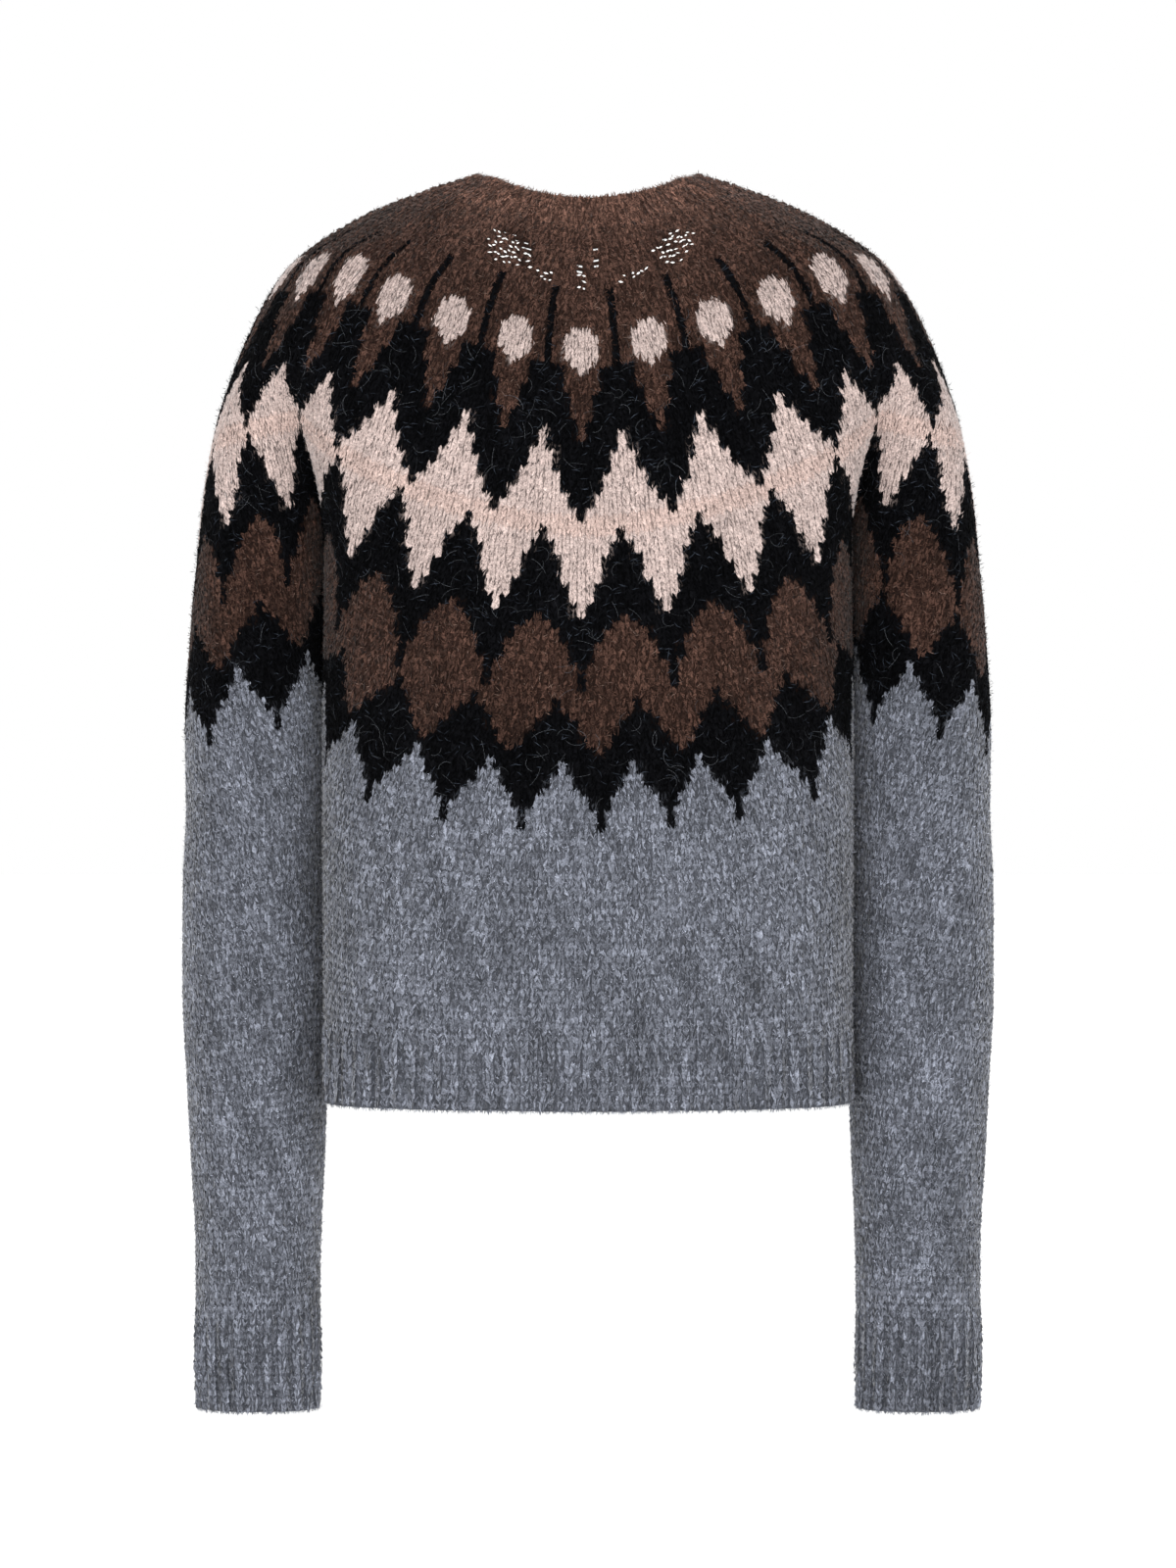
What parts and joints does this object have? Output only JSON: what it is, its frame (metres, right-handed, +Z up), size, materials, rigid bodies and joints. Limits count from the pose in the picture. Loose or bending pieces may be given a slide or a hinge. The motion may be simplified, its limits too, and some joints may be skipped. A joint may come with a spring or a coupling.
{
  "type": "cardigan",
  "caption": "Round-yoke knitted cardigan, buttoned up the front, with long sleeves and ribbed neckband, hem and cuffs, held in the hollow shape it has when worn with the arms hanging.",
  "frame": {"origin": "on the line of the shoulders, midway between the two sides of the neck, where a wearer or a hanger holds it", "axes": "+Z up, -Y towards the front of the garment, +X towards the wearer's left"},
  "size_m": [0.495, 0.2517, 0.758],
  "materials": {
    "brown_knit": "brushed stranded wool knit, brown with black and peach pattern",
    "grey_knit": "brushed heather grey wool knit",
    "horn": "dark polished horn-like plastic"
  },
  "bodies": {
    "root": {"neckband": "brown_knit", "yoke": "brown_knit", "back": "grey_knit", "front_left": "grey_knit", "front_right": "grey_knit", "hem_rib_back": "grey_knit", "hem_rib_front_left": "grey_knit", "hem_rib_front_right": "grey_knit", "sleeve_left": "grey_knit", "sleeve_right": "grey_knit", "cuff_left": "grey_knit", "cuff_right": "grey_knit", "band_left": "grey_knit", "band_right": "grey_knit", "button_1": "horn", "button_2": "horn", "button_3": "horn", "button_4": "horn", "button_5": "horn", "button_6": "horn", "button_7": "horn"}
  },
  "joints": []
}
